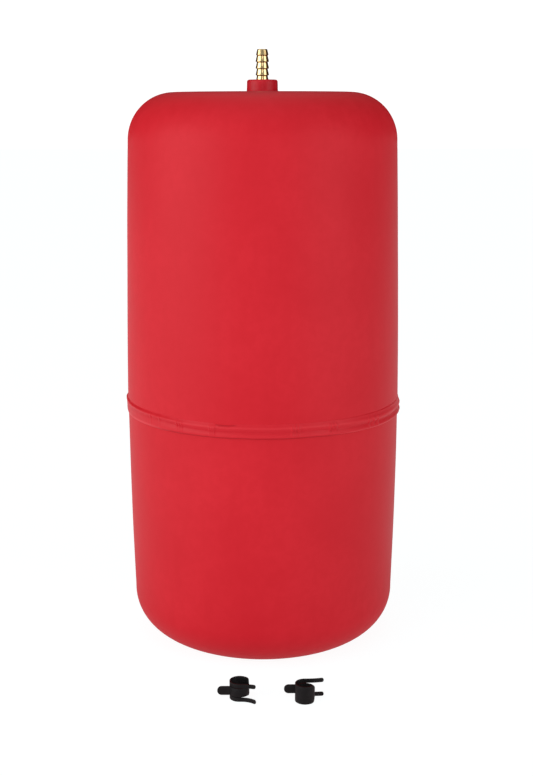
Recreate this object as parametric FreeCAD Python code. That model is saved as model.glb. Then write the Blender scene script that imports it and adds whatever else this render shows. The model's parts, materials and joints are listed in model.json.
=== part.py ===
import FreeCAD, Part
import math
import os

# An air cylinder of the kind that stands inside a coil spring and helps to carry the load.
# Two moulded urethane cups are welded at their rims into one sealed chamber. A grommet in the
# crown holds a brass hose barb, and two spring band clamps for the air hose stand in front.
# Millimetres. +Z is up, -Y is the front, and the origin is the centre of the flat base.

V = FreeCAD.Vector
ORIGIN = V(0, 0, 0)
UP = V(0, 0, 1)
RIGHT = V(1, 0, 0)

# Air chamber, outside sizes
BODY_HEIGHT = 218.0          # base to the middle of the crown
SEAM_HEIGHT = 95.7           # base to the plane where the two cups are welded
SEAM_RADIUS = 54.5           # upper cup at its rim
SEAM_STEP = 0.25             # the lower cup's rim is this much smaller
TOP_TAPER = 2.8              # radius lost from the seam up to the crown's edge
BOTTOM_TAPER = 1.55          # radius lost from the seam down to the base's edge
UPPER_BOW = 0.28             # how far each wall bows out at its middle
LOWER_BOW = 0.35
CROWN_RISE = 0.63            # dome of the crown from its edge to its middle
SHOULDER = 17.5              # rounding of the crown's and the base's edge
WALL = 3.5

# Weld between the cups
WELD_LINE = 0.05             # left between the two rims
LIP_GAP = 0.6                # between the locating lip and the upper cup
LIP_WALL = 1.5               # locating lip inside the lower cup's rim
LIP_ABOVE = 8.0
LIP_BELOW = 6.0
BEAD_PROUD = 0.75            # ridges of the bead beyond the upper wall
BEAD_DIP = 0.55              # groove of the bead beyond the upper wall
BEAD_EDGE = 0.4              # both edges of the bead beyond the upper wall
BEAD_GAP = 0.3               # between the bead and the upper cup, which moves on its own
BEAD_BELOW = 2.5             # reach of the bead below and above the seam
BEAD_ABOVE = 3.2
RIDGE_BELOW = 1.4            # middle of each ridge from the seam
RIDGE_ABOVE = 1.6

# Grommet that carries the stem
BOSS_RADIUS = 5.9
BOSS_HEIGHT = 4.45           # above the crown
BOSS_ROUND = 0.5
NECK_RADIUS = 5.0            # where it passes through the crown
FLANGE_RADIUS = 14.0         # bonded under the crown
FLANGE_THICK = 2.5
BOND = 0.05                  # glue line round the grommet, and under the crown

# Brass stem
BORE_RADIUS = 1.3
TIP_RADIUS = 1.95
TIP_CHAMFER = 0.25
FIRST_CREST_RADIUS = 2.35
CREST_RADIUS = 2.525
ROOT_RADIUS = 2.1
BARB_COUNT = 5
FIRST_CREST_DOWN = 2.12      # from the tip down to the first crest
BARB_PITCH = 2.51
BARB_STEP = 0.22             # height of the step under each crest
STEM_ABOVE = 11.35           # tip above the top of the boss
STEM_BELOW = 1.0             # below the flange, into the chamber
STEM_FIT = 0.03              # moulded round the stem
HEX_FLATS = 9.0              # hexagon that the flange is moulded round
HEX_THICK = 1.5

# Spring band clamps
BAND_RADIUS = 3.0            # inside, relaxed
BAND_THICK = 0.5
BAND_WIDTH = 6.6
PRONG_WIDTH = 1.3
SLOT_GAP = 0.45              # between the tongue and each prong
SPINE_GAP = 0.04             # between the two arms at the flexing spine
SPINE_ANGLE = 90.0           # spine at the back, crossing at the front
FORK_ANGLE = 200.0           # the fork's full width ends here and its prongs begin
TONGUE_ANGLE = 15.0          # the other arm's full width ends here and its tongue begins
TAB_OFFSET = 1.9             # finger tab in front of the band's axis
TAB_BEND = 0.7               # middle radius of the bend between the tongue and its tab
CORNER = 0.45                # rounding of the prongs' ends

# Each clamp: place across, stand-off in front of the weld bead, reach of its finger tab and
# of its prongs from the band's axis, how far each prong is bent out, and if it is upside down
CLAMPS = {
    "left": {"across": -8.8, "standoff": 16.75, "tab_reach": 8.0, "prong_reach": 5.75,
             "bend_low": 22.0, "bend_high": 3.0, "flipped": False},
    "right": {"across": 15.2, "standoff": 18.35, "tab_reach": 7.5, "prong_reach": 6.9,
              "bend_low": 4.5, "bend_high": 0.0, "flipped": True},
}

crown_edge_z = BODY_HEIGHT - CROWN_RISE
top_radius = SEAM_RADIUS - TOP_TAPER
lower_rim_radius = SEAM_RADIUS - SEAM_STEP
bottom_radius = SEAM_RADIUS - BOTTOM_TAPER - SEAM_STEP
bead_radius = SEAM_RADIUS + BEAD_PROUD
flange_top = BODY_HEIGHT - WALL - 2 * BOND
flange_bottom = flange_top - FLANGE_THICK
boss_top = BODY_HEIGHT + BOSS_HEIGHT
hex_bottom = flange_bottom + (FLANGE_THICK - HEX_THICK) / 2


def at(radius, z):
    """A point of an outline that is turned about Z."""
    return V(radius, 0, z)


def line(a, b):
    return Part.LineSegment(a, b).toShape()


def arc(a, middle, b):
    return Part.Arc(a, middle, b).toShape()


def bowed(a, b, bow):
    """An edge from a to b whose middle stands out by bow, away from the axis or upwards."""
    middle = (a + b) * 0.5
    run = b - a
    out = V(run.z, 0, -run.x)
    out.normalize()
    if out.x + out.z < 0:
        out = out * -1
    return arc(a, middle + out * bow, b)


def turned(edges):
    return Part.Face(Part.Wire(edges)).revolve(ORIGIN, UP, 360)


def ring(inner, outer, low, high):
    tube = Part.makeCylinder(outer, high - low, V(0, 0, low))
    return tube.cut(Part.makeCylinder(inner, high - low, V(0, 0, low)))


def dome(rim_radius, rim_z, edge_radius, edge_z, middle_z, bow, rounding):
    """A solid cup shape from a flat rim to a flat or domed end with a rounded edge."""
    rim = at(rim_radius, rim_z)
    edge = at(edge_radius, edge_z)
    middle = at(0, middle_z)
    if middle_z == edge_z:
        end = line(edge, middle)
    else:
        rise = middle_z - edge_z
        sphere = (edge_radius ** 2 + rise ** 2) / (2 * rise)
        half = math.asin(edge_radius / sphere) / 2
        on_dome = at(sphere * math.sin(half), middle_z - sphere * (1 - math.cos(half)))
        end = arc(edge, on_dome, middle)
    solid = turned([line(at(0, rim_z), rim), bowed(rim, edge, bow), end, line(middle, at(0, rim_z))])
    corner = [e for e in solid.Edges if abs(e.BoundBox.ZMax - edge_z) < 1e-6
              and abs(e.BoundBox.ZMin - edge_z) < 1e-6 and e.BoundBox.XMax > edge_radius - 1e-6]
    return solid.makeFillet(rounding, corner)


def upper_shell():
    rim_z = SEAM_HEIGHT + WELD_LINE
    outside = dome(SEAM_RADIUS, rim_z, top_radius, crown_edge_z, BODY_HEIGHT, UPPER_BOW, SHOULDER)
    inside = dome(SEAM_RADIUS - WALL, rim_z, top_radius - WALL, crown_edge_z - WALL,
                  BODY_HEIGHT - WALL, UPPER_BOW, SHOULDER - WALL)
    hole = Part.makeCylinder(NECK_RADIUS + BOND, 3 * WALL, V(0, 0, BODY_HEIGHT - 2 * WALL))
    return outside.cut(inside).cut(hole)


def lower_shell():
    outside = dome(lower_rim_radius, SEAM_HEIGHT, bottom_radius, 0, 0, LOWER_BOW, SHOULDER)
    inside = dome(lower_rim_radius - WALL, SEAM_HEIGHT, bottom_radius - WALL, WALL, WALL,
                  LOWER_BOW, SHOULDER - WALL)
    lip_outer = SEAM_RADIUS - WALL - LIP_GAP
    lip_inner = lip_outer - LIP_WALL
    lip = ring(lip_inner, lip_outer, SEAM_HEIGHT - LIP_BELOW, SEAM_HEIGHT + LIP_ABOVE)
    root = ring(lip_inner, lower_rim_radius - WALL / 2, SEAM_HEIGHT - LIP_BELOW, SEAM_HEIGHT)
    return outside.cut(inside).fuse([lip, root]).removeSplitter()


def weld_bead():
    low = SEAM_HEIGHT - BEAD_BELOW
    high = SEAM_HEIGHT + BEAD_ABOVE
    edge = SEAM_RADIUS + BEAD_EDGE
    groove = at(SEAM_RADIUS + BEAD_DIP, SEAM_HEIGHT)
    inner = SEAM_RADIUS + BEAD_GAP
    return turned([
        line(at(lower_rim_radius, low), at(edge, low)),
        arc(at(edge, low), at(bead_radius, SEAM_HEIGHT - RIDGE_BELOW), groove),
        arc(groove, at(bead_radius, SEAM_HEIGHT + RIDGE_ABOVE), at(edge, high)),
        line(at(edge, high), at(inner, high)),
        line(at(inner, high), at(inner, SEAM_HEIGHT)),
        line(at(inner, SEAM_HEIGHT), at(lower_rim_radius, SEAM_HEIGHT)),
        line(at(lower_rim_radius, SEAM_HEIGHT), at(lower_rim_radius, low)),
    ])


def hexagon(flats, low, high):
    corner = flats / 2 / math.cos(math.radians(30))
    points = [V(corner * math.cos(math.radians(60 * i)), corner * math.sin(math.radians(60 * i)), low)
              for i in range(7)]
    return Part.Face(Part.makePolygon(points)).extrude(V(0, 0, high - low))


def stem_boss():
    boss = Part.makeCylinder(BOSS_RADIUS, BOSS_HEIGHT, V(0, 0, BODY_HEIGHT))
    rim = [e for e in boss.Edges if e.BoundBox.ZMin > boss_top - 1e-6]
    boss = boss.makeFillet(BOSS_ROUND, rim)
    neck = Part.makeCylinder(NECK_RADIUS, BODY_HEIGHT - flange_bottom, V(0, 0, flange_bottom))
    flange = Part.makeCylinder(FLANGE_RADIUS, FLANGE_THICK, V(0, 0, flange_bottom))
    hole = Part.makeCylinder(CREST_RADIUS + STEM_FIT, boss_top - flange_bottom, V(0, 0, flange_bottom))
    pocket = hexagon(HEX_FLATS + 2 * STEM_FIT, hex_bottom - STEM_FIT, hex_bottom + HEX_THICK + STEM_FIT)
    return boss.fuse([neck, flange]).removeSplitter().cut(hole).cut(pocket)


def barbed_stem():
    tip = boss_top + STEM_ABOVE
    end = flange_bottom - STEM_BELOW
    outline = [at(BORE_RADIUS, tip), at(TIP_RADIUS - TIP_CHAMFER, tip), at(TIP_RADIUS, tip - TIP_CHAMFER)]
    for barb in range(BARB_COUNT):
        crest_z = tip - FIRST_CREST_DOWN - barb * BARB_PITCH
        outline.append(at(FIRST_CREST_RADIUS if barb == 0 else CREST_RADIUS, crest_z))
        if barb < BARB_COUNT - 1:
            outline.append(at(ROOT_RADIUS, crest_z - BARB_STEP))
    outline += [at(CREST_RADIUS, end), at(BORE_RADIUS, end), at(BORE_RADIUS, tip)]
    barbs = Part.Face(Part.makePolygon(outline)).revolve(ORIGIN, UP, 360)
    bore = Part.makeCylinder(BORE_RADIUS, HEX_THICK, V(0, 0, hex_bottom))
    collar = hexagon(HEX_FLATS, hex_bottom, hex_bottom + HEX_THICK).cut(bore)
    return barbs.fuse(collar).removeSplitter()


def sector(centre, inner, outer, start, stop, low, high):
    """Part of a flat ring, anticlockwise from start to stop in degrees."""
    solid = Part.makeCylinder(outer, high - low, ORIGIN, UP, stop - start)
    solid = solid.cut(Part.makeCylinder(inner, high - low))
    solid.rotate(ORIGIN, UP, start)
    solid.translate(centre + V(0, 0, low))
    return solid


def strip(start, heading, length, low, high, rounding):
    """A straight length of band from start, with both corners of its far end rounded."""
    back = -BAND_THICK / 2
    square = length - rounding
    tilt = rounding * math.cos(math.radians(45))
    edges = [
        line(V(0, back, low), V(square, back, low)),
        arc(V(square, back, low), V(square + tilt, back, low + rounding - tilt),
            V(length, back, low + rounding)),
    ]
    if high - low > 2 * rounding + 1e-6:
        edges.append(line(V(length, back, low + rounding), V(length, back, high - rounding)))
    edges += [
        arc(V(length, back, high - rounding), V(square + tilt, back, high - rounding + tilt),
            V(square, back, high)),
        line(V(square, back, high), V(0, back, high)),
        line(V(0, back, high), V(0, back, low)),
    ]
    solid = Part.Face(Part.Wire(edges)).extrude(V(0, BAND_THICK, 0))
    solid.rotate(ORIGIN, UP, heading)
    solid.translate(start)
    return solid


def placed(shape, clamp):
    """Turn a clamp over if it stands upside down, and stand it in its place."""
    shape = shape.copy()
    if clamp["flipped"]:
        shape.rotate(V(0, 0, BAND_WIDTH / 2), RIGHT, 180)
    shape.translate(V(clamp["across"], -(bead_radius + clamp["standoff"]), 0))
    return shape


band_outer = BAND_RADIUS + BAND_THICK
band_middle = BAND_RADIUS + BAND_THICK / 2
spine_half = math.degrees(SPINE_GAP / 2 / band_middle)
tongue_low = PRONG_WIDTH + SLOT_GAP
tongue_high = BAND_WIDTH - PRONG_WIDTH - SLOT_GAP


def clamp_fork(clamp):
    """The arm that goes round the left of the band and ends in two prongs."""
    arm = sector(ORIGIN, BAND_RADIUS, band_outer, SPINE_ANGLE + spine_half, FORK_ANGLE, 0, BAND_WIDTH)
    prongs = ((0, PRONG_WIDTH, clamp["bend_low"]),
              (BAND_WIDTH - PRONG_WIDTH, BAND_WIDTH, clamp["bend_high"]))
    pieces = []
    for low, high, bend in prongs:
        leave = 270 - bend
        pieces.append(sector(ORIGIN, BAND_RADIUS, band_outer, FORK_ANGLE, leave, low, high))
        slope = math.radians(bend)
        start = V(-band_middle * math.sin(slope), -band_middle * math.cos(slope), 0)
        length = (clamp["prong_reach"] - start.x) / math.cos(slope)
        pieces.append(strip(start, -bend, length, low, high, CORNER))
    return arm.fuse(pieces).removeSplitter()


def clamp_tongue(clamp):
    """The arm that goes round the right, through the fork, and ends in the finger tab."""
    bend_y = -(TAB_OFFSET + TAB_BEND)
    reach = band_middle + TAB_BEND
    bend_x = -math.sqrt(reach ** 2 - bend_y ** 2)
    leave = 180 + math.degrees(math.atan2(-bend_y, -bend_x))
    arm = sector(ORIGIN, BAND_RADIUS, band_outer, TONGUE_ANGLE, SPINE_ANGLE - spine_half, 0, BAND_WIDTH)
    tongue = sector(ORIGIN, BAND_RADIUS, band_outer, leave, 360 + TONGUE_ANGLE, tongue_low, tongue_high)
    bend = sector(V(bend_x, bend_y, 0), TAB_BEND - BAND_THICK / 2, TAB_BEND + BAND_THICK / 2,
                  leave - 180, 90, tongue_low, tongue_high)
    tab_round = (tongue_high - tongue_low) / 2
    tab = strip(V(bend_x, -TAB_OFFSET, 0), 180, clamp["tab_reach"] + bend_x, tongue_low, tongue_high,
                tab_round)
    return arm.fuse([tongue, bend, tab]).removeSplitter()


nodes = {
    "upper_shell": upper_shell(),
    "lower_shell": lower_shell(),
    "weld_bead": weld_bead(),
    "stem_boss": stem_boss(),
    "barbed_stem": barbed_stem(),
}
for side, clamp in CLAMPS.items():
    nodes["clamp_" + side + "_fork"] = placed(clamp_fork(clamp), clamp)
    nodes["clamp_" + side + "_tongue"] = placed(clamp_tongue(clamp), clamp)

os.makedirs("parts", exist_ok=True)
for name, shape in nodes.items():
    box = shape.BoundBox
    print(name, "valid", shape.isValid(), "solids", len(shape.Solids), "volume %.1f" % shape.Volume,
          "x %.2f %.2f" % (box.XMin, box.XMax), "y %.2f %.2f" % (box.YMin, box.YMax),
          "z %.2f %.2f" % (box.ZMin, box.ZMax))
    shape.exportStep("parts/" + name + ".step")
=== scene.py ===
import bmesh
import bpy
import json
import math
from mathutils import Matrix, Vector, noise


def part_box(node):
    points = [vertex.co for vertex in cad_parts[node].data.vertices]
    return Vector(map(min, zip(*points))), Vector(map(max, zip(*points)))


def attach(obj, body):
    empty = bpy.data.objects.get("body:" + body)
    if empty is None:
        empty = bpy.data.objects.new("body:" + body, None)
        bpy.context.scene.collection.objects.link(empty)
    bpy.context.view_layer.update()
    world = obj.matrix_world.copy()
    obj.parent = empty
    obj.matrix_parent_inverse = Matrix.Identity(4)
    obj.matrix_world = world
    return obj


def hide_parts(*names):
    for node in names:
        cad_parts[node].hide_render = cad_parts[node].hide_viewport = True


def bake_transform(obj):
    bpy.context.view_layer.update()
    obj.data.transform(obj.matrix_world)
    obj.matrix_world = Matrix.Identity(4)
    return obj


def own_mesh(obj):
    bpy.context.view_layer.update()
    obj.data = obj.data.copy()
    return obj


# An air cylinder that stands inside a coil spring, with its brass hose barb and two band clamps.
# Pieces are sized in millimetres, and MM turns them into Blender's metres. The studio is in metres.

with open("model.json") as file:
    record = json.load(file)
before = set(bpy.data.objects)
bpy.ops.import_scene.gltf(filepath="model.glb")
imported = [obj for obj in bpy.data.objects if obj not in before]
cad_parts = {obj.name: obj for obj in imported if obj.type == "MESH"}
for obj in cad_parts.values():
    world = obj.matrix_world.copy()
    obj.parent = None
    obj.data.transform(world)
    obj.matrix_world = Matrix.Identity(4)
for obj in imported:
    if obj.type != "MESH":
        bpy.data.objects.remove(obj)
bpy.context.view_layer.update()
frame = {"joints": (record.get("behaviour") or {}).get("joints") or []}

MM = 0.001


def node_box(node):
    """Lowest and highest corner of a CAD node, in millimetres."""
    low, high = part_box(node)
    return low / MM, high / MM


upper_low, upper_high = node_box("upper_shell")
lower_high = node_box("lower_shell")[1]
boss_low, boss_high = node_box("stem_boss")
stem_low, stem_high = node_box("barbed_stem")

BODY_HEIGHT = round(upper_high.z, 1)
SEAM_HEIGHT = upper_low.z
# Each cup is drawn this much fuller at the seam than in the CAD.
UPPER_FULLER = 0.1
LOWER_FULLER = 0.2
SEAM_RADIUS = upper_high.x + UPPER_FULLER
LOWER_RIM_RADIUS = lower_high.x + LOWER_FULLER
LIP_TOP = lower_high.z
BOSS_TOP = boss_high.z
FLANGE_RADIUS = boss_high.x
FLANGE_BOTTOM = boss_low.z
TIP = stem_high.z
STEM_END = stem_low.z

WALL = 3.5
# Radius each cup loses from the seam to its end, and how far its wall bows out in between.
TOP_TAPER = 2.95
BOTTOM_TAPER = 1.80
UPPER_BOW = 0.34
LOWER_BOW = 0.42
CROWN_RISE = 0.63
TOP_SHOULDER = 18.2
BOTTOM_SHOULDER = 17.5
CROWN_HOLE = 5.05
SEAM_GAP = 0.05
# The lip that locates the lower cup inside the upper one.
LIP_GAP = 0.6
LIP_THICK = 1.5
LIP_OUTER = SEAM_RADIUS - WALL - LIP_GAP
LIP_INNER = LIP_OUTER - LIP_THICK
LIP_BELOW = 6.0

# How far the stem's first crest is below its tip, and each crest below the last.
BARB_DOWN = 2.12
BARB_PITCH = 2.51

# The share of its height that the cylinder keeps at full stroke.
STROKE = next(j["range_m"][1] for j in frame["joints"] if j["name"] == "axial_stroke") / MM
KEEP = 1 - STROKE / BODY_HEIGHT


# ---------------------------------------------------------------- shader maths

class Wire:
    """A shader value. Arithmetic on it adds Math nodes to its recipe."""

    def __init__(self, recipe, socket):
        self.recipe = recipe
        self.socket = socket

    def maths(self, operation, first, second):
        return self.recipe.node("ShaderNodeMath", {"operation": operation}, {0: first, 1: second})

    def __add__(self, other):
        return self.maths("ADD", self, other)

    def __sub__(self, other):
        return self.maths("SUBTRACT", self, other)

    def __rsub__(self, other):
        return self.maths("SUBTRACT", other, self)

    def __mul__(self, other):
        return self.maths("MULTIPLY", self, other)

    __radd__ = __add__
    __rmul__ = __mul__

    def ramp(self, start, stop, low=0.0, high=1.0):
        """Smoothly from low, where this value is start, to high, where it is stop."""
        settings = {"interpolation_type": "SMOOTHSTEP"}
        return self.recipe.node("ShaderNodeMapRange", settings,
                                {"Value": self, "From Min": start, "From Max": stop,
                                 "To Min": low, "To Max": high})


class Nodes:
    """A node tree that is filled in from code."""

    def __init__(self, tree):
        self.tree = tree

    def feed(self, socket, value):
        if isinstance(value, Wire):
            self.tree.links.new(value.socket, socket)
        else:
            socket.default_value = value

    def node(self, kind, settings=None, sockets=None, output=0):
        """Any node: its settings first, then its sockets, by name or number."""
        made = self.tree.nodes.new(kind)
        for name, value in (settings or {}).items():
            setattr(made, name, value)
        for name, value in (sockets or {}).items():
            self.feed(made.inputs[name], value)
        return Wire(self, made.outputs[output])


class Recipe(Nodes):
    """A material, built round one principled shader."""

    def __init__(self, name, **finish):
        self.material = bpy.data.materials.new(name)
        self.material.use_nodes = True
        super().__init__(self.material.node_tree)
        self.shader = self.tree.nodes["Principled BSDF"]
        self.finish(**{key.replace("_", " "): value for key, value in finish.items()})
        self.place = self.node("ShaderNodeTexCoord", output="Object")

    def finish(self, **values):
        for name, value in values.items():
            self.feed(self.shader.inputs[name], value)

    def stretched(self, x, y, z):
        """The piece's own place, scaled by x, y and z."""
        return self.node("ShaderNodeMapping", None, {"Vector": self.place, "Scale": (x, y, z)})

    def noise(self, size, detail=2.0, roughness=0.5, vector=None):
        """Soft noise whose features are about size millimetres."""
        return self.node("ShaderNodeTexNoise", None,
                         {"Vector": vector or self.place, "Scale": 1 / (size * MM),
                          "Detail": detail, "Roughness": roughness})

    def height(self):
        """Height above the floor, in millimetres."""
        height = self.node("ShaderNodeSeparateXYZ", None, {"Vector": self.place}, output="Z")
        return height * (1 / MM)

    def mix(self, share, first, second):
        """A colour between first and second."""
        settings = {"data_type": "RGBA"}
        return self.node("ShaderNodeMix", settings, {0: share, 6: first, 7: second}, output=2)

    def bump(self, height, depth):
        """Surface relief of a depth in millimetres, fed to the shader's normal."""
        relief = self.node("ShaderNodeBump", None,
                           {"Height": height, "Distance": depth * MM, "Strength": 1.0})
        self.finish(Normal=relief)


# The finishes' colours, as linear red, green and blue.
WHITE = (1, 1, 1, 1)
RED = (0.620, 0.0110, 0.0220, 1)
RED_PALE = (0.660, 0.0150, 0.0270, 1)
RED_DRAWN = (0.590, 0.0095, 0.0190, 1)
RED_MOTTLE = (0.595, 0.0085, 0.0175, 1)
MELT = (0.600, 0.0085, 0.0200, 1)
MELT_PALE = (0.655, 0.0140, 0.0260, 1)
# Painted shade in the bead's groove between its ridges.
MELT_GROOVE_SHADE = (0.575, 0.0055, 0.0165, 1)
# Painted highlight along the crest of the bead's upper ridge.
MELT_CREST_HIGHLIGHT = (0.690, 0.0240, 0.0360, 1)
# Painted shadow under the bead's lower rim.
MELT_LIP_SHADOW = (0.500, 0.0040, 0.0130, 1)
# Painted highlight along the bead's lower rim, at the sides.
MELT_RIM_HIGHLIGHT = (0.720, 0.0380, 0.0520, 1)
# Painted shadow under the lap of melt.
MELT_LAP_SHADOW = (0.480, 0.0030, 0.0120, 1)
BOSS_RED = (0.570, 0.0075, 0.0220, 1)
BOSS_RUBBED = (0.640, 0.0150, 0.0300, 1)
BRASS = (0.92, 0.71, 0.36, 1)
BRASS_STAINED = (0.74, 0.50, 0.21, 1)
# Painted shade under each barb.
BRASS_UNDER_SHADE = (0.20, 0.065, 0.018, 1)
STEEL = (0.0040, 0.0040, 0.0044, 1)
STEEL_WORN = (0.0090, 0.0090, 0.0095, 1)
STEEL_SCUFFED = (0.020, 0.020, 0.021, 1)


def red_urethane():
    """Satin moulded urethane: slow blotches, a faint vertical draw, mottle and a fine grain."""
    recipe = Recipe("red_urethane", IOR=1.27)
    blotch = recipe.noise(38, 3.0, 0.55)
    draw = recipe.noise(6, 2.0, 0.6, recipe.stretched(1, 1, 0.12))
    grain = recipe.noise(0.45, 2.0, 0.6)
    mottle = recipe.noise(3.4, 2.0, 0.6)
    colour = recipe.mix(blotch.ramp(0.35, 0.68), RED, RED_PALE)
    colour = recipe.mix(draw.ramp(0.45, 0.8, 0, 0.30), colour, RED_DRAWN)
    colour = recipe.mix(mottle.ramp(0.35, 0.65, 0, 0.30), colour, RED_MOTTLE)
    recipe.finish(**{"Base Color": colour, "Roughness": 0.44 + 0.08 * blotch + 0.06 * grain})
    recipe.bump(grain * 0.6 + draw * 0.4, 0.04)
    return recipe.material


def melted_urethane():
    """The weld bead, with painted light and shade: painted shade, deeper red, in its groove;
    painted highlights, pale, on its crest and at the sides of its lower rim; and painted
    shadow, darkest, along the front of that rim and under the lap of melt."""
    recipe = Recipe("melted_urethane", IOR=1.32)
    flow = recipe.noise(3.2, 2.0, 0.6, recipe.stretched(1, 1, 2.2))
    level = recipe.node("ShaderNodeAttribute", {"attribute_name": "melt_height"}, output="Fac")

    def line(middle, reach, share):
        """A soft line along the bead, at a height above the seam in millimetres."""
        away = level - middle
        return (away * away).ramp(0.0, reach, share, 0)

    to_right = recipe.node("ShaderNodeSeparateXYZ", None, {"Vector": recipe.place}, output="X")
    to_right = to_right * (1 / (SEAM_RADIUS * MM))
    sides = to_right.ramp(-0.62, -0.85) + to_right.ramp(0.42, 0.66)
    # Painted shade: deeper red along the groove between the two ridges, patchy with the flow.
    groove_shade = line(0.15, 0.6, 1) * (0.25 + 0.9 * flow)
    # Painted highlight: paler red along the crest of the upper ridge.
    crest = line(1.95, 0.25, 0.5)
    # Painted shadow: darkest red along the bottom of the bead under its lower rim, faded out at the
    # sides.
    lip = level.ramp(-1.95, -1.55, 1, 0) * (1 - sides)
    # Painted highlight: paler red along the lower rim, at the left and right sides only.
    rim = line(-1.78, 0.10, 0.8) * sides
    # Painted shadow: darkest red in a short streak just under the lap of melt, left of the front.
    lap_shadow = level.ramp(2.45, 2.75) * level.ramp(3.05, 3.35, 1, 0)
    lap_shadow = lap_shadow * to_right.ramp(-0.34, -0.30) * to_right.ramp(-0.21, -0.16, 0.9, 0)
    colour = recipe.mix(flow, MELT, MELT_PALE)
    colour = recipe.mix(groove_shade, colour, MELT_GROOVE_SHADE)
    colour = recipe.mix(crest, colour, MELT_CREST_HIGHLIGHT)
    colour = recipe.mix(lip, colour, MELT_LIP_SHADOW)
    colour = recipe.mix(rim, colour, MELT_RIM_HIGHLIGHT)
    colour = recipe.mix(lap_shadow, colour, MELT_LAP_SHADOW)
    recipe.finish(**{"Base Color": colour, "Roughness": 0.38 + 0.20 * flow})
    recipe.bump(flow, 0.06)
    return recipe.material


def boss_urethane():
    """The grommet: the same urethane, shinier, with a little handling wear."""
    recipe = Recipe("boss_urethane", IOR=1.33)
    rub = recipe.noise(2.6, 3.0, 0.6)
    colour = recipe.mix(rub.ramp(0.3, 0.75), BOSS_RED, BOSS_RUBBED)
    recipe.finish(**{"Base Color": colour, "Roughness": 0.30 + 0.20 * rub})
    recipe.bump(rub, 0.05)
    return recipe.material


def turned_brass():
    """Bright brass off the lathe: fine rings round the stem, and painted shade, dark brown, under
    each barb.
    """
    recipe = Recipe("turned_brass", Metallic=1.0, Specular_Tint=(0.50, 0.30, 0.10, 1))
    rings = recipe.noise(0.09, 2.0, 0.7, recipe.stretched(0.02, 0.02, 1))
    stain = recipe.noise(1.4, 3.0, 0.6)
    # The painted shade under each barb starts just over each crest and repeats with the barbs.
    shade_top = TIP - BARB_DOWN + 0.06
    under = (shade_top - recipe.height()) * (1 / BARB_PITCH)
    under = recipe.node("ShaderNodeMath", {"operation": "FRACT"}, {0: under})
    barb_shade = under.ramp(0.0, 0.03, 0, 1) * under.ramp(0.18, 0.24, 1, 0)
    colour = recipe.mix(stain.ramp(0.4, 0.8), BRASS, BRASS_STAINED)
    colour = recipe.mix(barb_shade * 0.94, colour, BRASS_UNDER_SHADE)
    recipe.finish(**{"Base Color": colour, "Roughness": 0.07 + 0.08 * rings + 0.05 * stain})
    recipe.bump(rings, 0.005)
    return recipe.material


def black_steel():
    """Blackened spring steel: dark, finely grained, with paler scuffs."""
    recipe = Recipe("black_spring_steel", IOR=1.5, Specular_IOR_Level=0.22)
    grain = recipe.noise(0.30, 3.0, 0.7)
    patch = recipe.noise(1.7, 3.0, 0.6)
    colour = recipe.mix(patch.ramp(0.45, 0.75), STEEL, STEEL_WORN)
    colour = recipe.mix(grain.ramp(0.58, 0.72, 0, 0.6), colour, STEEL_SCUFFED)
    recipe.finish(**{"Base Color": colour, "Roughness": 0.42 + 0.25 * grain})
    recipe.bump(grain, 0.02)
    return recipe.material


# ---------------------------------------------------------------- drawing and turning

def begin(name):
    """A new piece called name, in edit mode, drawn down to one selected point at the origin."""
    bpy.ops.object.select_all(action="DESELECT")
    bpy.ops.mesh.primitive_plane_add(size=MM)
    piece = bpy.context.object
    piece.name = name
    piece.data.name = name
    bpy.ops.object.mode_set(mode="EDIT")
    bpy.ops.mesh.merge(type="CENTER")
    return piece


def turn(name, outline, steps, sectors=8):
    """A turned piece: a point is drawn along the outline of (radius, height) and spun about Z.

    One sector is spun in fine steps and then repeated all the way round.
    """
    piece = begin(name)
    points = [Vector((radius * MM, 0, height * MM)) for radius, height in outline]
    bpy.ops.transform.translate(value=points[0])
    for here, there in zip(points, points[1:]):
        bpy.ops.mesh.extrude_region_move(TRANSFORM_OT_translate={"value": there - here})
    bpy.ops.mesh.select_all(action="SELECT")
    bpy.ops.mesh.spin(steps=steps // sectors, angle=math.tau / sectors, center=(0, 0, 0),
                      axis=(0, 0, 1))
    bpy.ops.mesh.select_all(action="SELECT")
    bpy.ops.mesh.spin(steps=sectors, angle=math.tau, center=(0, 0, 0), axis=(0, 0, 1), dupli=True)
    close_up()
    bpy.ops.object.mode_set(mode="OBJECT")
    return piece


def close_up():
    """Merge what meets, and turn every face outwards."""
    bpy.ops.mesh.select_all(action="SELECT")
    bpy.ops.mesh.remove_doubles(threshold=0.002 * MM)
    bpy.ops.mesh.normals_make_consistent(inside=False)


def soften(piece, width, sharpest, segments=2):
    """A small bevel on every edge that is sharper than an angle in degrees."""
    bevel = piece.modifiers.new("soften", "BEVEL")
    bevel.width = width * MM
    bevel.segments = segments
    bevel.limit_method = "ANGLE"
    bevel.angle_limit = math.radians(sharpest)
    bevel.use_clamp_overlap = True
    apply_modifiers(piece)


def apply_modifiers(piece):
    """Make the piece's modifiers part of its mesh."""
    bpy.ops.object.select_all(action="DESELECT")
    piece.select_set(True)
    bpy.context.view_layer.objects.active = piece
    for modifier in list(piece.modifiers):
        bpy.ops.object.modifier_apply(modifier=modifier.name)


def smooth(piece, angle=35):
    """Shade smoothly across edges flatter than an angle in degrees."""
    bpy.ops.object.select_all(action="DESELECT")
    piece.select_set(True)
    bpy.context.view_layer.objects.active = piece
    bpy.ops.object.shade_smooth_by_angle(angle=math.radians(angle))


def dress(piece, material):
    """Give a finished piece its material."""
    piece.data.materials.clear()
    piece.data.materials.append(material)


def work(piece, move):
    """Move each point of a piece one by one: move takes and returns a place in millimetres."""
    for vertex in piece.data.vertices:
        vertex.co = move(vertex.co / MM) * MM
    piece.data.update()


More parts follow.
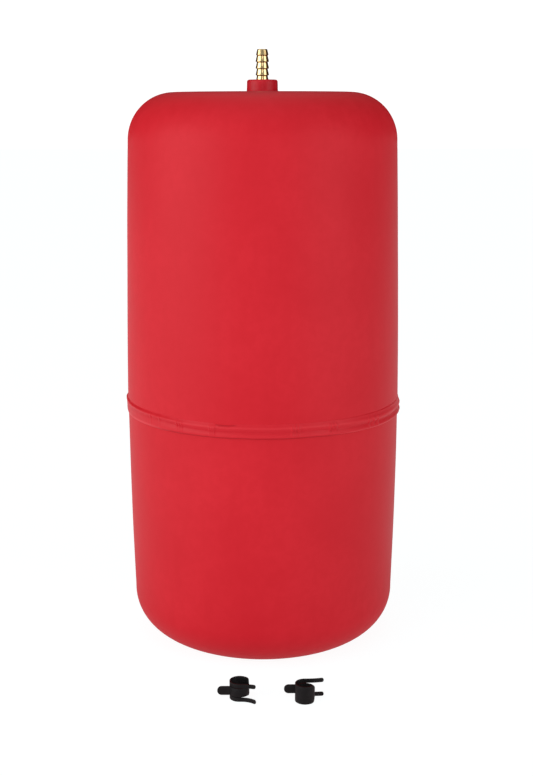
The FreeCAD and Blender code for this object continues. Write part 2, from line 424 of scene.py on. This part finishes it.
def arc(centre, radius, start, stop, count):
    """Points (radius, height) on an arc about centre, between two angles in degrees."""
    angles = [math.radians(start + (stop - start) * i / count) for i in range(count + 1)]
    return [(centre[0] + radius * math.cos(a), centre[1] + radius * math.sin(a)) for a in angles]


# ---------------------------------------------------------------- air chamber

def skin(rim_radius, rim_z, edge_radius, edge_z, bow, rise, rounding, stop_radius=0.0):
    """Half an outline of a cup's skin: up its bowed wall, round its shoulder, over its end."""
    up = 1 if edge_z > rim_z else -1
    height = abs(edge_z - rim_z)
    taper = rim_radius - edge_radius
    lean = math.atan((taper + 4 * bow) / height)
    tilt = math.atan(2 * rise / edge_radius)
    wall_out = Vector((math.cos(lean), math.sin(lean)))
    end_out = Vector((math.sin(tilt), math.cos(tilt)))
    across = wall_out.x * end_out.y - wall_out.y * end_out.x
    centre = (edge_radius - rounding * (end_out.y - wall_out.y) / across,
              height - rounding * (wall_out.x - end_out.x) / across)
    wall_share = (centre[1] + rounding * wall_out.y) / height
    wall_steps, shoulder_steps, end_steps = 36, 24, 16
    points = []
    for i in range(wall_steps):
        t = wall_share * i / wall_steps
        points.append((rim_radius - taper * t + 4 * bow * t * (1 - t), height * t))
    points += arc(centre, rounding, math.degrees(lean), 90 - math.degrees(tilt), shoulder_steps)
    start = points[-1][0]
    for i in range(1, end_steps + 1):
        radius = start + (stop_radius - start) * i / end_steps
        points.append((radius, height + rise * (1 - (radius / edge_radius) ** 2)))
    return [(radius, rim_z + up * z) for radius, z in points]


def moulded(place, depth=0.10):
    """Slight waviness of a soft moulding, along the radius, fading out at the axis."""
    long_wave, short_wave = 46, 17
    still, fade = 8, 20
    radius = math.hypot(place.x, place.y)
    if radius < still:
        return place
    swell = noise.noise(place / long_wave) + 0.35 * noise.noise(place / short_wave)
    share = depth * swell * min(1, (radius - still) / fade) / radius
    return Vector((place.x * (1 + share), place.y * (1 + share), place.z))


def upper_cup():
    """The upper cup, open at the seam, with a hole in its crown for the grommet's neck."""
    edge = BODY_HEIGHT - CROWN_RISE
    outside = skin(SEAM_RADIUS, SEAM_HEIGHT, SEAM_RADIUS - TOP_TAPER, edge,
                   UPPER_BOW, CROWN_RISE, TOP_SHOULDER, CROWN_HOLE)
    inside = skin(SEAM_RADIUS - WALL, SEAM_HEIGHT, SEAM_RADIUS - TOP_TAPER - WALL, edge - WALL,
                  UPPER_BOW, CROWN_RISE, TOP_SHOULDER - WALL, CROWN_HOLE)
    piece = turn("upper_cup", outside + inside[::-1] + outside[:1], steps=288)
    work(piece, moulded)
    return piece


def lower_cup():
    """The lower cup, with a flat base and the locating lip inside its rim."""
    bottom = LOWER_RIM_RADIUS - BOTTOM_TAPER
    seam = SEAM_HEIGHT - SEAM_GAP
    lip_foot = seam - LIP_BELOW
    outside = skin(LOWER_RIM_RADIUS, seam, bottom, 0, LOWER_BOW, 0, BOTTOM_SHOULDER)
    inside = skin(LOWER_RIM_RADIUS - WALL, seam, bottom - WALL, WALL, LOWER_BOW, 0,
                  BOTTOM_SHOULDER - WALL)
    inside = [point for point in inside if point[1] < lip_foot - 0.5]
    lip = [(LOWER_RIM_RADIUS - WALL, lip_foot - 0.3), (LIP_INNER, lip_foot),
           (LIP_INNER, LIP_TOP), (LIP_OUTER, LIP_TOP), (LIP_OUTER, seam)]
    piece = turn("lower_cup", outside + inside[::-1] + lip + outside[:1], steps=288)
    work(piece, moulded)
    return piece


# ---------------------------------------------------------------- weld bead

# Pleats pinched across the bead: degrees round from the front, positive to the right, degrees
# between the folds, and their height in millimetres. The last four are on the back.
PLEATS = ((-51, 0, 0.30), (-45.3, 0, 0.32), (-34.6, 1.2, 0.36), (-20.1, 0.9, 0.42),
          (12.5, 1.3, 0.46), (28.1, 1.4, 0.38), (50.0, 3.0, 0.46), (84, 1.2, 0.30),
          (112, 1.6, 0.32), (171, 1.2, 0.30), (-138, 1.4, 0.34))
# A lap of melt stands over the wall above the bead, a little left of the front.
LAP_AT = -15.0
LAP_WIDE = 3.4
# The two ridges meet at this height above the seam.
RIDGE_SPLIT = 0.2
# How many degrees a pleat's fold takes to fade on each side.
PLEAT_THICK = 0.40
# How far the melt crept up or down, by its height above the seam, on the left and on the right.
LEFT_CREEP = ((-2.2, -0.3), (-1.2, 0.5), (0.1, 1.4), (1.7, 0.7), (3.2, 0.1))
RIGHT_CREEP = ((-2.2, -0.5), (-1.0, -1.0), (0.1, -0.8), (1.7, -1.2), (3.2, -0.6))


def from_angle(degrees, at):
    """How far round from at, between -180 and 180 degrees."""
    return (degrees - at + 180) % 360 - 180


def ease(x, start, stop):
    """Smoothly from 0 at start to 1 at stop."""
    t = min(1.0, max(0.0, (x - start) / (stop - start)))
    return t * t * (3 - 2 * t)


def stage_value(x, stages):
    """Straight between the (place, value) stages, level past their ends."""
    if x <= stages[0][0]:
        return stages[0][1]
    for (x0, y0), (x1, y1) in zip(stages, stages[1:]):
        if x <= x1:
            return y0 + (y1 - y0) * (x - x0) / (x1 - x0)
    return stages[-1][1]


def bead_move(place):
    """Melt that ran unevenly: both ridges wander, swell and fade, and pleats cross them."""
    angle = math.atan2(place.x, -place.y)
    degrees = math.degrees(angle)
    to_right = math.sin(angle)
    radius = math.hypot(place.x, place.y)
    proud = max(0.0, radius - SEAM_RADIUS)
    above = place.z - SEAM_HEIGHT
    on_upper = above > RIDGE_SPLIT
    seam_point = Vector((math.sin(angle), -math.cos(angle), 0)) * SEAM_RADIUS
    wander = noise.noise(seam_point / 26 + Vector((0, 0, 9 if on_upper else 3)))
    ripple = noise.noise(seam_point / 5.0 + Vector((0, 0, 5 if on_upper else 1)))

    # How proud each ridge stands, as a share of the outline's.
    if on_upper:
        grow = (0.56 + 0.08 * to_right ** 2 - 0.05 * to_right) / 0.6
    else:
        grow = (0.46 + 0.17 * to_right + 0.12 * to_right ** 2) / 0.5
    grow *= 1 + 0.22 * wander + 0.16 * ripple

    creep = ease(-to_right, 0.40, 0.78) * stage_value(above, LEFT_CREEP)
    creep += ease(to_right, 0.30, 0.90) * stage_value(above, RIGHT_CREEP)
    lift = creep + 0.18 * noise.noise(seam_point / 19 + Vector((0, 0, 7))) + 0.08 * ripple

    fold = 0.0
    for at, gap, height in PLEATS:
        away = from_angle(degrees, at)
        if abs(away) < 5:
            middle = math.exp(-((above - 0.7) / 1.6) ** 2)
            for line in ((-gap, 0, gap) if gap else (0,)):
                fold += height * middle * math.exp(-((away - line) / PLEAT_THICK) ** 2)

    # On the far left the groove is filled, and the lap stands out over the wall.
    filled = 0.36 * ease(-to_right, 0.60, 0.93) * math.exp(-((above - 0.15) / 0.75) ** 2)
    lap = math.exp(-(from_angle(degrees, LAP_AT) / LAP_WIDE) ** 4)
    if above > 2.3:
        fold += lap * 0.28 * stage_value(above, ((2.3, 0), (2.6, 1), (3.0, 1), (3.1, -1)))
        lift -= lap * 0.25

    scale = (radius + proud * (grow - 1) + fold + filled) / radius
    held = min(1, (proud + 0.1) / 0.3)
    return Vector((place.x * scale, place.y * scale, place.z + lift * held))


def bead():
    """The melted double ridge round the seam. Its back is buried in both cups' walls."""
    # Out from the wall and up from the seam.
    lower = [(-1.2, -1.2), (-0.35, -1.50), (-0.02, -1.72), (0.08, -1.98), (0.20, -2.10),
             (0.34, -2.02), (0.45, -1.80), (0.50, -1.45), (0.50, -1.15), (0.43, -0.80),
             (0.30, -0.45), (0.18, -0.15), (0.12, 0.10)]
    upper = [(0.14, 0.35), (0.24, 0.65), (0.40, 1.00), (0.53, 1.30), (0.60, 1.60), (0.60, 1.85),
             (0.53, 2.10), (0.42, 2.35), (0.28, 2.60), (0.15, 2.85), (0.05, 3.10), (-0.06, 3.45),
             (-0.4, 3.6), (-1.2, 3.2)]
    outline = [(SEAM_RADIUS + out, SEAM_HEIGHT + up) for out, up in lower + upper]
    piece = turn("weld_bead_melt", outline + outline[:1], steps=1800)
    melt_height = piece.data.attributes.new("melt_height", "FLOAT", "POINT")
    for vertex, height in zip(piece.data.vertices, melt_height.data):
        height.value = vertex.co.z / MM - SEAM_HEIGHT
    work(piece, bead_move)
    return piece


# ---------------------------------------------------------------- grommet and stem

SHANK_RADIUS = 2.525
BORE_RADIUS = 1.3
# The barbs' crests: the first, and how much fuller than the shank the next three are.
FIRST_CREST = 2.40
CREST_EXTRA = 0.06
BARB_ROOT = 2.1
NECK_RADIUS = 5.0
# The hexagon that keeps the stem from turning in the grommet's flange: to its corners, its
# thickness and its height above the flange's underside.
HEX_CORNER = 5.196
HEX_THICK = 1.5
HEX_ABOVE = 0.5


def grommet():
    """Boss with a rounded rim and a soft foot, neck through the crown and flange under it."""
    hole = SHANK_RADIUS + 0.03
    top = BOSS_TOP
    side, rim, foot = 5.93, 0.85, 0.45
    neck_top = BODY_HEIGHT - 0.12
    under = BODY_HEIGHT - WALL - 0.1
    pocket = 5.25
    pocket_low = FLANGE_BOTTOM + 0.47
    pocket_high = pocket_low + 1.56
    outline = [(hole, top - 0.12), (hole + 0.25, top), (4.2, top - 0.03)]
    outline += arc((side - rim, top - rim), rim, 90, 0, 8)
    outline += [(side + 0.05, BODY_HEIGHT + 1.6)]
    outline += arc((6.02 + foot, BODY_HEIGHT + foot - 0.03), foot, 180, 262, 6)
    outline += [(6.42, neck_top), (NECK_RADIUS, neck_top)]
    outline += [(NECK_RADIUS, under), (FLANGE_RADIUS, under)]
    outline += [(FLANGE_RADIUS, FLANGE_BOTTOM), (hole, FLANGE_BOTTOM), (hole, pocket_low)]
    outline += [(pocket, pocket_low), (pocket, pocket_high), (hole, pocket_high)]
    outline += [(hole, top - 0.12)]
    return turn("stem_grommet", outline, steps=128)


def stem():
    """Turned hose barb with four barbs showing, an open bore and a hexagon in the flange."""
    crest = SHANK_RADIUS + CREST_EXTRA
    step, land = 0.20, 0.10
    outline = [(BORE_RADIUS, TIP - 0.25), (BORE_RADIUS + 0.22, TIP), (1.68, TIP)]
    outline += arc((1.68, TIP - 0.30), 0.30, 80, 10, 5)
    outline += [(2.00, TIP - 0.38)]
    crests = (FIRST_CREST, crest, crest, crest, SHANK_RADIUS)
    for barb, radius in enumerate(crests):
        height = TIP - BARB_DOWN - barb * BARB_PITCH
        outline += [(radius - 0.02, height + land), (radius, height)]
        if radius != crests[-1]:
            outline += [(BARB_ROOT + 0.02, height - step), (BARB_ROOT, height - step - 0.12)]
    outline += [(SHANK_RADIUS, STEM_END), (BORE_RADIUS, STEM_END), (BORE_RADIUS, TIP - 0.25)]
    piece = turn("brass_stem", outline, steps=96)

    middle = FLANGE_BOTTOM + HEX_ABOVE + HEX_THICK / 2
    bpy.ops.object.select_all(action="DESELECT")
    bpy.ops.mesh.primitive_cylinder_add(vertices=6, radius=HEX_CORNER * MM, depth=HEX_THICK * MM,
                                        location=(0, 0, middle * MM),
                                        rotation=(0, 0, math.radians(30)))
    collar = bpy.context.object
    bpy.ops.mesh.primitive_cylinder_add(vertices=96, radius=(SHANK_RADIUS - 0.3) * MM, depth=4 * MM,
                                        location=(0, 0, middle * MM))
    drill = bpy.context.object
    join(collar, drill, "DIFFERENCE")
    join(piece, collar, "UNION")
    soften(piece, 0.035, sharpest=25)
    return piece


def join(piece, other, operation):
    """Cut another piece out of this one, or weld it on, and take the other away."""
    boolean = piece.modifiers.new("join", "BOOLEAN")
    boolean.object = other
    boolean.operation = operation
    apply_modifiers(piece)
    bpy.data.objects.remove(other)


# ---------------------------------------------------------------- hose clamps

BAND_RADIUS = 3.4
BAND_THICK = 0.5
BAND_WIDTH = 6.85
PRONG_WIDTH = 1.55
SLOT_GAP = 0.2
TONGUE_LOW = PRONG_WIDTH + SLOT_GAP
TONGUE_HIGH = BAND_WIDTH - TONGUE_LOW
# Degrees round the ring, from the right towards the back: where the prongs and the tongue part
# from the full width, how far the tongue's shoulders reach, and half the spine.
FORK_ANGLE = 200.0
TONGUE_ANGLE = 13.0
SHOULDER_SWEEPS = {"left": 16.0, "right": 32.0}
SPINE_HALF = 38.0
# Each prong leaves the ring at its front point, runs straight for its lead and then flares
# outwards: the radius of its curve, lower prong first as the clamp is drawn.
PRONG_CURVES = {"left": (6.9, 17.0), "right": (24.0, 60.0)}
PRONG_LEAD = 0.8
PRONG_ROUND = 0.70
# The radius of the tab's bend out of the ring, how far in front of the ring's middle the tab then
# runs, and how much longer it is than in the CAD.
TAB_BEND = 0.7
TAB_OFFSETS = {"left": 1.3, "right": 2.3}
TAB_EXTRA = 0.25
# The bevel on every sharp edge of the band.
EDGE_EASE = 0.07
# Outer radius of the ring in the CAD, how far left of it the drawn rings stand, and how much
# nearer to the front the right one stands.
CAD_RING_RADIUS = 3.5
RING_SHIFT = 0.12
RIGHT_NEARER = 0.8
# Points nearer than this are taken to be in the same place.
SAME_PLACE = 0.02


def band_blank(name, angle):
    """The band's cut end, standing at an angle round the clamp, marked out into five widths."""
    bpy.ops.object.select_all(action="DESELECT")
    bpy.ops.mesh.primitive_plane_add(size=1)
    piece = bpy.context.object
    piece.name = name
    piece.data.name = name
    bpy.ops.object.mode_set(mode="EDIT")
    turned = Matrix.Rotation(math.radians(angle), 4, "Z")
    bpy.ops.transform.resize(value=(BAND_THICK * MM, BAND_WIDTH * MM, 1))
    for vertex in bmesh.from_edit_mesh(piece.data).verts:
        flat = Vector((BAND_RADIUS * MM + vertex.co.x, 0, vertex.co.y + BAND_WIDTH / 2 * MM))
        vertex.co = turned @ flat
    for height in (PRONG_WIDTH, TONGUE_LOW, TONGUE_HIGH, BAND_WIDTH - PRONG_WIDTH):
        bpy.ops.mesh.select_all(action="SELECT")
        bpy.ops.mesh.bisect(plane_co=(0, 0, height * MM), plane_no=(0, 0, 1))
    bpy.ops.mesh.select_all(action="SELECT")
    return piece


def pick(piece, centre, low, high):
    """Select only the faces whose middle is near centre and between two heights."""
    mesh = bmesh.from_edit_mesh(piece.data)
    bpy.ops.mesh.select_all(action="DESELECT")
    for face in mesh.faces:
        middle = face.calc_center_median() / MM
        near = math.hypot(middle.x - centre.x, middle.y - centre.y) < SAME_PLACE
        if near and low < middle.z < high:
            face.select_set(True)
    bmesh.update_edit_mesh(piece.data)


def on_ring(angle):
    """The middle of the band's thickness, at an angle round the ring."""
    a = math.radians(angle)
    return Vector((BAND_RADIUS * math.cos(a), BAND_RADIUS * math.sin(a), 0))


def roll(start, stop, centre=(0, 0, 0), step=4.0):
    """Carry the selected end on round centre, from start to stop in degrees."""
    steps = max(2, round(abs(stop - start) / step))
    bpy.ops.mesh.spin(steps=steps, angle=-math.radians(stop - start),
                      center=Vector(centre) * MM, axis=(0, 0, 1))


def run_on(heading, length, pieces=2):
    """Carry the selected end straight on."""
    a = math.radians(heading)
    move = Vector((math.cos(a), math.sin(a), 0)) * length / pieces * MM
    for _ in range(pieces):
        bpy.ops.mesh.extrude_region_move(TRANSFORM_OT_translate={"value": move})


def round_end(piece, tip, low, high, radius):
    """Round the two corners of a straight end, seen on the flat of the band."""
    mesh = bmesh.from_edit_mesh(piece.data)
    bpy.ops.mesh.select_all(action="DESELECT")
    for edge in mesh.edges:
        middle = (edge.verts[0].co + edge.verts[1].co) / 2 / MM
        level = abs(edge.verts[0].co.z - edge.verts[1].co.z) < 0.001 * MM
        at_end = math.hypot(middle.x - tip.x, middle.y - tip.y) < SAME_PLACE
        at_corner = min(abs(middle.z - low), abs(middle.z - high)) < SAME_PLACE
        if level and at_end and at_corner:
            edge.select_set(True)
    bmesh.update_edit_mesh(piece.data)
    bpy.ops.mesh.bevel(offset=radius * MM, segments=8, affect="EDGES")


def round_shoulders(piece, sweep):
    """Draw the band in, in two quarter rounds, from its full width almost to the tongue's."""
    drawn_in = 0.97
    for vertex in bmesh.from_edit_mesh(piece.data).verts:
        angle = math.degrees(math.atan2(vertex.co.y, vertex.co.x))
        along = (TONGUE_ANGLE + sweep - angle) / sweep
        if along > 0:
            inset = drawn_in * TONGUE_LOW * (1 - math.sqrt(1 - min(1, along) ** 2))
            z = vertex.co.z / MM
            if z < TONGUE_LOW:
                z = inset + (TONGUE_LOW - inset) * z / TONGUE_LOW
            elif z > TONGUE_HIGH:
                left = (BAND_WIDTH - z) / TONGUE_LOW
                z = BAND_WIDTH - inset - (TONGUE_LOW - inset) * left
            vertex.co.z = z * MM
    bmesh.update_edit_mesh(piece.data)


def ease_edges(piece, width, sharpest=40):
    """A small bevel on the band's sharp edges, but not where it is cut from the spine."""
    mesh = bmesh.new()
    mesh.from_mesh(piece.data)
    weight = mesh.edges.layers.float.new("bevel_weight_edge")
    for edge in mesh.edges:
        at_cut = all(abs(abs(math.degrees(math.atan2(v.co.x, v.co.y))) - SPINE_HALF) < 0.5
                     for v in edge.verts)
        sharp = edge.is_manifold and edge.calc_face_angle() > math.radians(sharpest)
        edge[weight] = 1.0 if sharp and not at_cut else 0.0
    mesh.to_mesh(piece.data)
    mesh.free()
    bevel = piece.modifiers.new("ease", "BEVEL")
    bevel.width = width * MM
    bevel.segments = 2
    bevel.limit_method = "WEIGHT"
    apply_modifiers(piece)


def finish_band(piece, place, flipped):
    """Close, ease the edges, turn over if need be and stand the piece in its place."""
    close_up()
    bpy.ops.object.mode_set(mode="OBJECT")
    ease_edges(piece, EDGE_EASE)
    turned = Matrix.Translation(place * MM)
    if flipped:
        middle = Vector((0, 0, BAND_WIDTH / 2 * MM))
        over = Matrix.Rotation(math.pi, 4, "X")
        turned = turned @ Matrix.Translation(middle) @ over @ Matrix.Translation(-middle)
    piece.data.transform(turned)
    smooth(piece)


def fork_arm(name, curves, reach):
    """The arm that ends in two prongs."""
    piece = band_blank(name, 90 + SPINE_HALF)
    roll(90 + SPINE_HALF, FORK_ANGLE)
    prongs = ((0, PRONG_WIDTH, curves[0]), (BAND_WIDTH - PRONG_WIDTH, BAND_WIDTH, curves[1]))
    for low, high, curve in prongs:
        pick(piece, on_ring(FORK_ANGLE), low, high)
        roll(FORK_ANGLE, 270)
        run_on(0, PRONG_LEAD)
        centre = Vector((PRONG_LEAD, -(BAND_RADIUS + curve), 0))
        sweep = math.degrees(math.asin((reach - PRONG_LEAD) / curve))
        roll(90, 90 - sweep, centre, sweep / 9)
        a = math.radians(90 - sweep)
        tip = centre + Vector((math.cos(a), math.sin(a), 0)) * curve
        round_end(piece, tip, low, high, PRONG_ROUND)
    return piece


def tongue_arm(name, reach, offset, sweep):
    """The arm whose tongue passes between the prongs and ends in a round tab."""
    piece = band_blank(name, 90 - SPINE_HALF)
    roll(90 - SPINE_HALF, TONGUE_ANGLE)
    bend_y = -(offset + TAB_BEND)
    bend_x = -math.sqrt((BAND_RADIUS + TAB_BEND) ** 2 - bend_y ** 2)
    leave = math.degrees(math.atan2(bend_y, bend_x))
    round_shoulders(piece, sweep)
    pick(piece, on_ring(TONGUE_ANGLE), TONGUE_LOW, TONGUE_HIGH)
    roll(TONGUE_ANGLE, leave)
    roll(leave + 180, 90, (bend_x, bend_y, 0), 8)
    run_on(180, reach + bend_x)
    half = (TONGUE_HIGH - TONGUE_LOW) / 2
    round_end(piece, Vector((-reach, -offset, 0)), TONGUE_LOW, TONGUE_HIGH, half * 0.98)
    return piece


def spine(name):
    """The back of the ring, which curves round between the two arms."""
    piece = band_blank(name, 90 - SPINE_HALF)
    roll(90 - SPINE_HALF, 90 + SPINE_HALF)
    return piece


def make_clamp(side, material):
    """One band clamp in its place. The right one is the same clamp turned over."""
    fork, tongue = "clamp_" + side + "_fork", "clamp_" + side + "_tongue"
    fork_high = node_box(fork)[1]
    tongue_low, tongue_high = node_box(tongue)
    flipped = side == "right"
    across = tongue_high.x - CAD_RING_RADIUS - RING_SHIFT
    if flipped:
        deep = tongue_low.y + CAD_RING_RADIUS - RIGHT_NEARER
    else:
        deep = tongue_high.y - CAD_RING_RADIUS
    place = Vector((across, deep, 0))

    arm = fork_arm(side + "_clamp_fork", PRONG_CURVES[side], fork_high.x - across)
    finish_band(arm, place, flipped)
    dress(arm, material)
    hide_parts(fork)
    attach(arm, fork)

    arm = tongue_arm(side + "_clamp_tongue", across - tongue_low.x + TAB_EXTRA,
                     TAB_OFFSETS[side], SHOULDER_SWEEPS[side])
    finish_band(arm, place, flipped)
    dress(arm, material)
    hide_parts(tongue)
    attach(arm, tongue)

    back = spine(side + "_clamp_spine")
    finish_band(back, place, flipped)
    dress(back, material)
    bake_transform(back)


# ---------------------------------------------------------------- studio

FLAG_TINT = (1, 0.55, 0.28, 1)
NEAR_GLOW = (1, 0.78, 0.80, 1)
TABLE_TONE = (0.12, 0.17, 0.18, 1)
# Name, degrees round from the front, distance, height, width, tallness, watts.
LIGHTS = (("soft_box_left", -62, 0.95, 0.30, 1.10, 0.68, 4.92),
          ("soft_box_right", 52, 0.95, 0.30, 0.70, 0.68, 2.36),
          ("front_strip", 0, 1.20, 0.33, 0.20, 0.60, 0.8))


def room_light(world):
    """The room round the table: a little brighter overhead, dimmer in front and far behind, with
    a dark warm flag at the back on each side. The camera itself sees plain white."""
    nodes = Nodes(world.node_tree)
    towards = nodes.node("ShaderNodeTexCoord", output="Generated")
    split = nodes.node("ShaderNodeSeparateXYZ", None, {0: towards}).socket.node
    across, back, up = (Wire(nodes, split.outputs[axis]) for axis in ("X", "Y", "Z"))
    side = nodes.node("ShaderNodeMath", {"operation": "ABSOLUTE"}, {0: across})
    flags = (back + 0.10 * across).ramp(-0.10, 0.06) * side.ramp(0.15, 0.35)
    flags = flags * up.ramp(0.35, 0.60, 1, 0.75)
    front = back.ramp(-0.70, -0.86)
    behind = back.ramp(0.74, 0.94)
    strength = up.ramp(0.1, 0.9, 0.58, 0.72) * (1 - 0.92 * flags) * (1 - 0.55 * front)
    strength = strength * (1 - 0.95 * behind)
    strength = strength * (1 - 0.2 * across)
    tint = nodes.node("ShaderNodeMix", {"data_type": "RGBA"},
                      {0: flags, 6: WHITE, 7: FLAG_TINT}, output=2)
    room = nodes.node("ShaderNodeBackground", None, {"Color": tint, "Strength": strength})
    backdrop = nodes.node("ShaderNodeBackground", None, {"Color": WHITE, "Strength": 1.1})
    seen = nodes.node("ShaderNodeLightPath", output="Is Camera Ray")
    either = nodes.node("ShaderNodeMixShader", None, {0: seen, 1: room, 2: backdrop})
    nodes.feed(nodes.tree.nodes["World Output"].inputs["Surface"], either)


def table_finish():
    """White table that glows. What it throws on the pieces is redder and weaker close to the
    cylinder, where the cylinder's shade and colour fall."""
    table = Recipe("lit_table", Base_Color=TABLE_TONE, Roughness=0.9, Specular_IOR_Level=0.0,
                   Emission_Color=WHITE, Emission_Strength=0.93)
    reach = table.node("ShaderNodeVectorMath", {"operation": "LENGTH"}, {0: table.place}, output=1)
    near = table.node("ShaderNodeEmission", None, {"Color": NEAR_GLOW, "Strength": 0.62})
    far = table.node("ShaderNodeEmission", None, {"Color": WHITE, "Strength": 0.80})
    glow = table.node("ShaderNodeMixShader", None, {0: reach.ramp(0.07, 0.16), 1: near, 2: far})
    lit = Wire(table, table.shader.outputs[0])
    seen = table.node("ShaderNodeLightPath", output="Is Camera Ray")
    either = table.node("ShaderNodeMixShader", None, {0: seen, 1: glow, 2: lit})
    table.feed(table.tree.nodes["Material Output"].inputs["Surface"], either)
    return table.material


def studio():
    """White table and room, a big soft box each side and a narrow strip behind the camera."""
    world = bpy.data.worlds.new("studio")
    bpy.context.scene.world = world
    world.use_nodes = True
    room_light(world)

    bpy.ops.object.select_all(action="DESELECT")
    bpy.ops.mesh.primitive_plane_add(size=12, location=(0, 0, 0))
    floor = bpy.context.object
    floor.name = "studio_floor"
    floor.data.materials.append(table_finish())

    for name, side, distance, height, width, tall, power in LIGHTS:
        a = math.radians(side)
        spot = Vector((math.sin(a) * distance, -math.cos(a) * distance, height))
        bpy.ops.object.light_add(type="AREA", location=spot)
        lamp = bpy.context.object
        lamp.name = name
        lamp.data.shape = "RECTANGLE"
        lamp.data.size = width
        lamp.data.size_y = tall
        lamp.data.energy = power
        aim = Vector((0, 0, height)) - spot
        lamp.rotation_euler = aim.to_track_quat("-Z", "Y").to_euler()


def camera():
    """About level with the crown, close in front, and tilted down to the cylinder's middle."""
    distance, height = 0.4975, 0.2127
    tilt = math.radians(12.70)
    roll_over, swing = 0.0016, -0.0032
    bpy.ops.object.camera_add(location=(0, -distance, height),
                              rotation=(math.pi / 2 - tilt, roll_over, swing))
    made = bpy.context.object
    made.data.sensor_width = 36
    made.data.lens = 58.15
    made.data.clip_start = 0.01
    bpy.context.scene.camera = made


# ---------------------------------------------------------------- making

camera()
studio()
bpy.context.scene.view_settings.view_transform = "Standard"

red = red_urethane()
for cup, node in ((upper_cup(), "upper_shell"), (lower_cup(), "lower_shell")):
    smooth(cup)
    dress(cup, red)
    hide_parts(node)
    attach(cup, "tank_base")
    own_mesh(cup)

melt = bead()
smooth(melt, 60)
dress(melt, melted_urethane())
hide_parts("weld_bead")
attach(melt, "tank_base")
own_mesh(melt)

boss = grommet()
smooth(boss)
dress(boss, boss_urethane())
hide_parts("stem_boss")
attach(boss, "crown")

barb = stem()
smooth(barb, 25)
dress(barb, turned_brass())
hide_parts("barbed_stem")
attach(barb, "crown")

steel = black_steel()
for side in ("left", "right"):
    make_clamp(side, steel)
